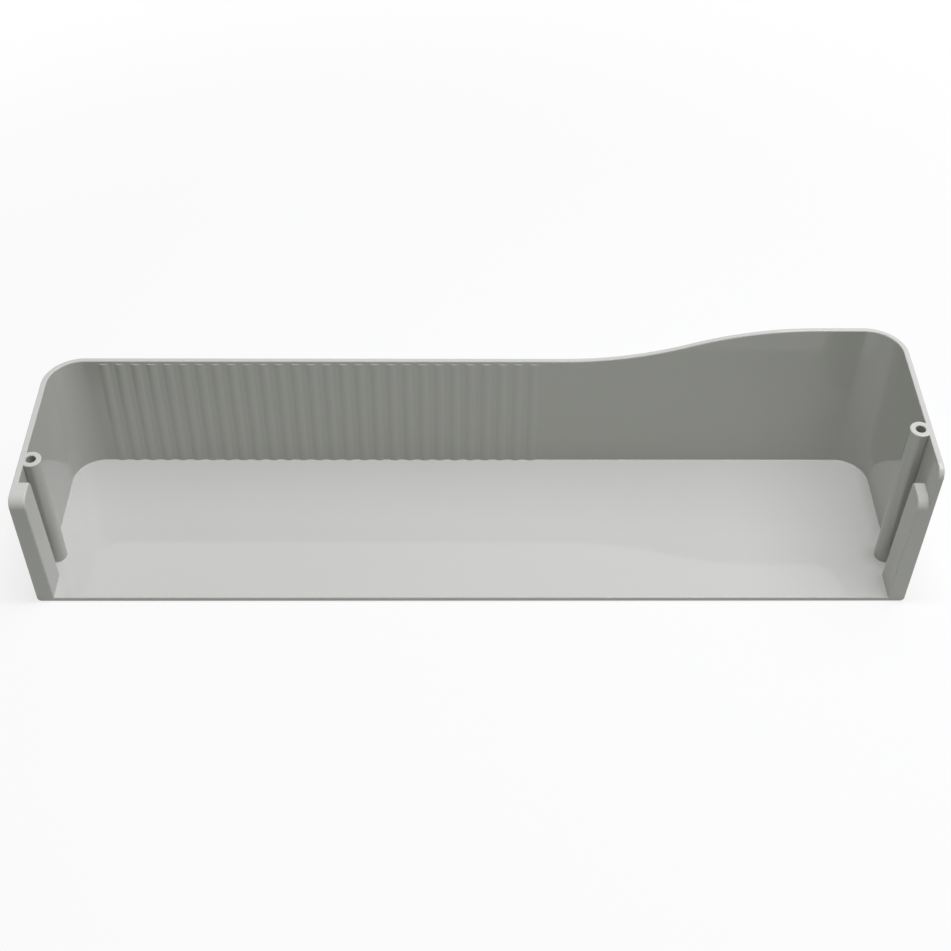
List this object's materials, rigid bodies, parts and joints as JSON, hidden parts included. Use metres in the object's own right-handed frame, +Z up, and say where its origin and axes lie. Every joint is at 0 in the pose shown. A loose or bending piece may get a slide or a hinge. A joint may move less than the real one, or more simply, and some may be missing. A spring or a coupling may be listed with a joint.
{
  "type": "fridge door shelf",
  "caption": "Moulded tray that hangs inside a refrigerator door, open at the rear, with a beaded front wall whose rim rises in an S curve, and screw bosses and posts on its side walls.",
  "frame": {"origin": "middle of the underside, on the surface that the shelf stands on", "axes": "+X along the shelf, to the right seen from the open rear; +Y from the open rear to the front wall; +Z up"},
  "size_m": [0.4013, 0.0946, 0.085],
  "materials": {
    "grey_plastic": "light grey moulded polystyrene, semi-gloss"
  },
  "bodies": {
    "root": {"door_shelf": "grey_plastic"}
  },
  "joints": []
}
